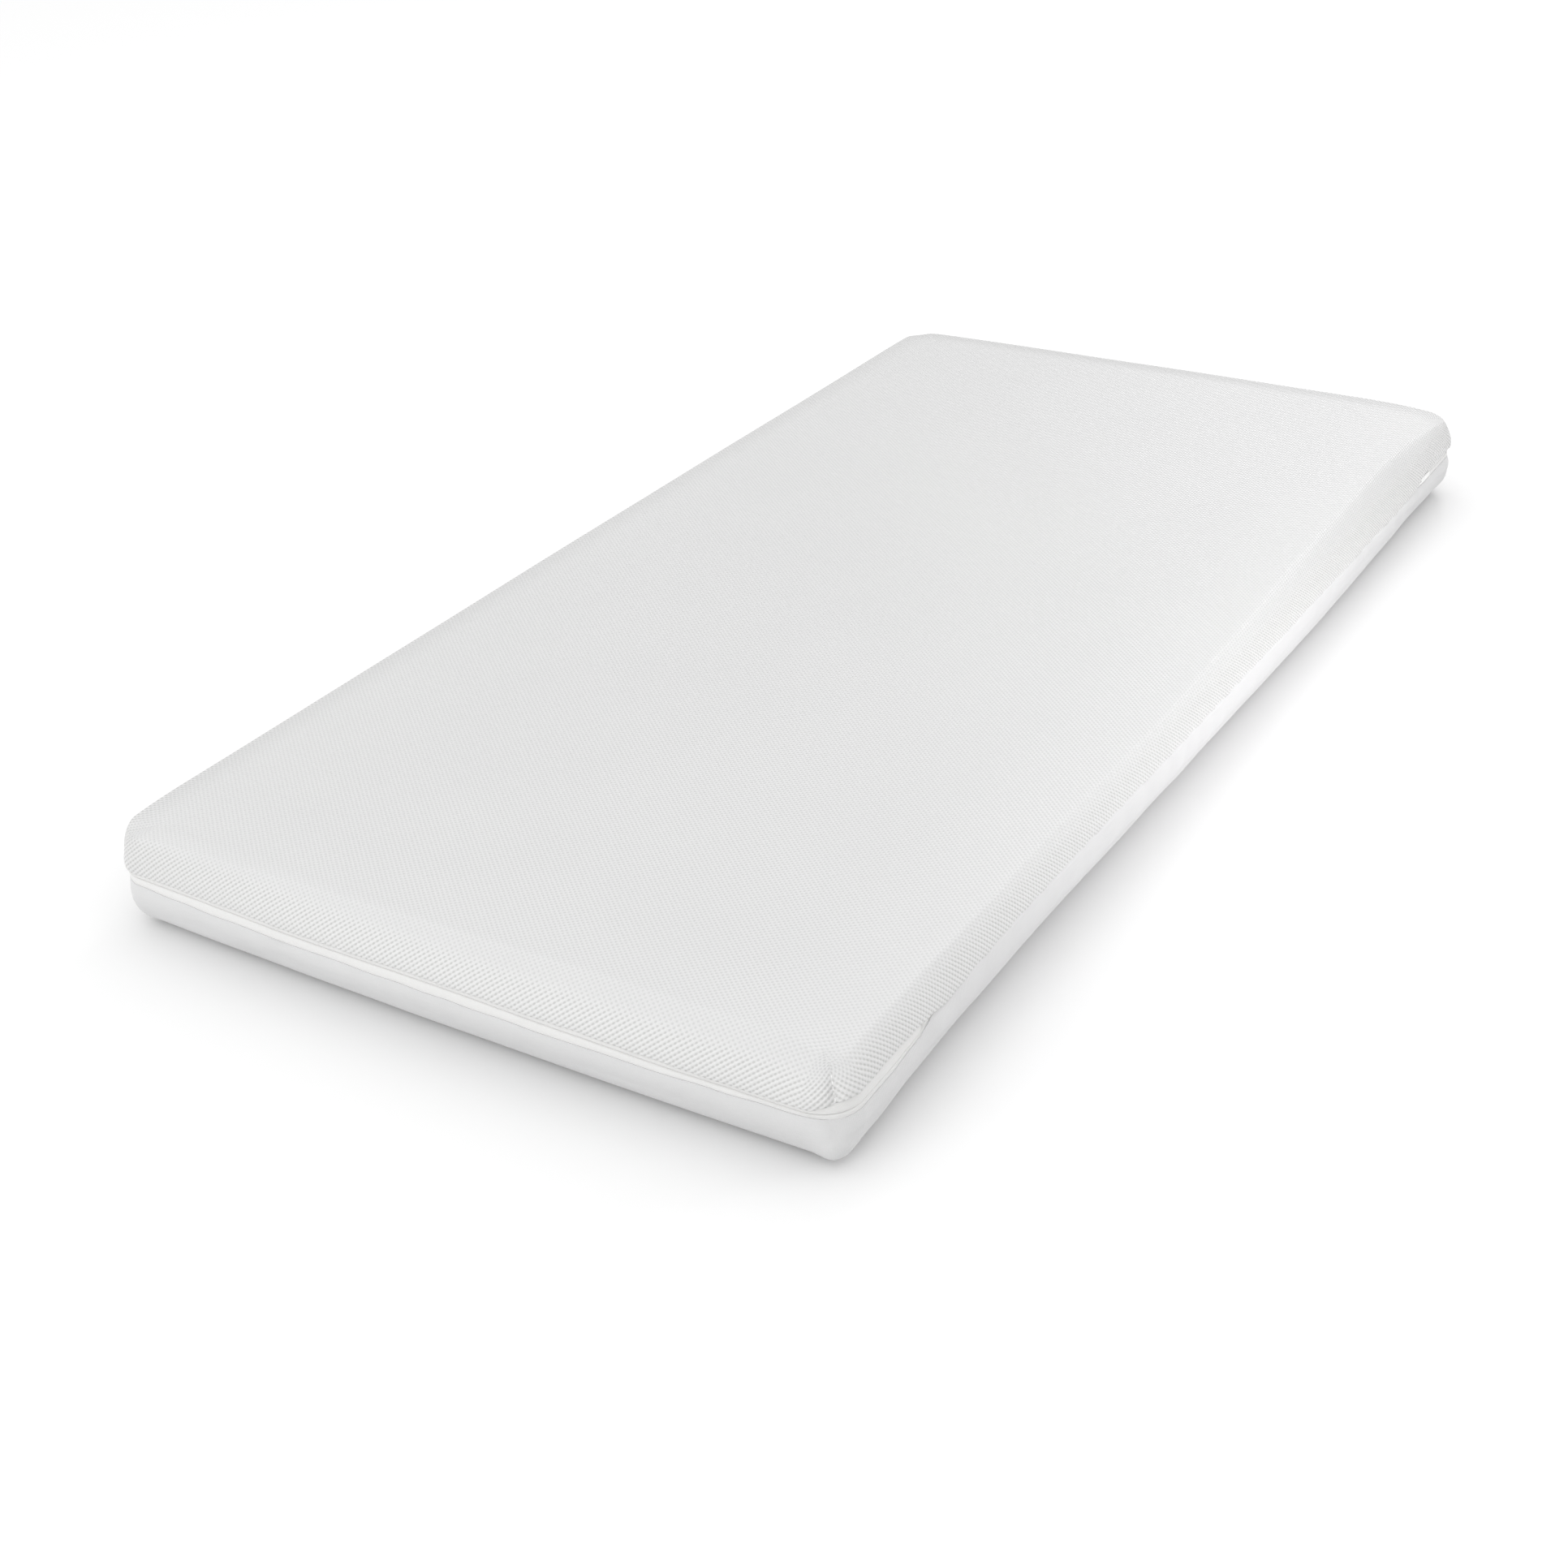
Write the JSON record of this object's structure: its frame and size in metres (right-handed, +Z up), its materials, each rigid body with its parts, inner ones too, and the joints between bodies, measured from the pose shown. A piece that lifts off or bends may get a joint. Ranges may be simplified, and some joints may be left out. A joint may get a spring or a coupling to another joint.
{
  "type": "foam mattress",
  "caption": "Flat rectangular foam mattress with a zip-off cover: spacer mesh on top, smooth cloth below, soft rounded corners.",
  "frame": {"origin": "centre of the underside, on the surface the mattress lies on", "axes": "+X across the width towards the sewn side, +Y along the length, +Z up"},
  "size_m": [0.6, 1.2, 0.08],
  "materials": {
    "mesh_fabric": "white warp-knitted polyester spacer mesh, matt, with small round holes",
    "lower_cloth": "smooth white knitted polyester cloth, matt",
    "zip_tape": "fine woven off-white polyester tape",
    "thread": "white polyester sewing thread",
    "zip_coil": "white nylon coil",
    "slider_metal": "white enamelled zinc",
    "memory_foam": "open-cell viscoelastic foam, matt, pale cream",
    "support_foam": "open-cell polyurethane foam, matt, near white",
    "label_cloth": "blank white satin label"
  },
  "bodies": {
    "mattress": {"lower_cover": "lower_cloth", "support_foam": "support_foam", "memory_foam": "memory_foam", "lower_zip_tape": "zip_tape", "lower_zip_coil": "zip_coil", "lower_zip_stitching": "thread", "upper_tape_ends": "zip_tape", "upper_coil_ends": "zip_coil", "bar_tacks": "thread", "side_seam_overlock": "thread", "care_label": "label_cloth"},
    "cover_lid": {"top_cover": "mesh_fabric", "corner_dart_stitching": "thread", "upper_zip_tape": "zip_tape", "upper_zip_coil": "zip_coil", "upper_zip_stitching": "thread"},
    "zip_slider": {"slider_body": "slider_metal", "slider_bridge": "slider_metal"},
    "zip_pull": {"pull_tab": "slider_metal"}
  },
  "joints": [
    {"name": "cover_lid_hinge", "type": "hinge", "parent": "mattress", "child": "cover_lid", "pos_m": [0.3, 0, 0.0465], "axis": [0, 1, 0], "range_deg": [0, 180]},
    {"name": "slider_slide", "type": "slide", "parent": "mattress", "child": "zip_slider", "axis": [0, 1, 0], "range_m": [0, 0.07]},
    {"name": "pull_tab_hinge", "type": "hinge", "parent": "zip_slider", "child": "zip_pull", "pos_m": [0.29873, 0.4885, 0.0465], "axis": [0, 0, -1], "range_deg": [0, 150]}
  ]
}
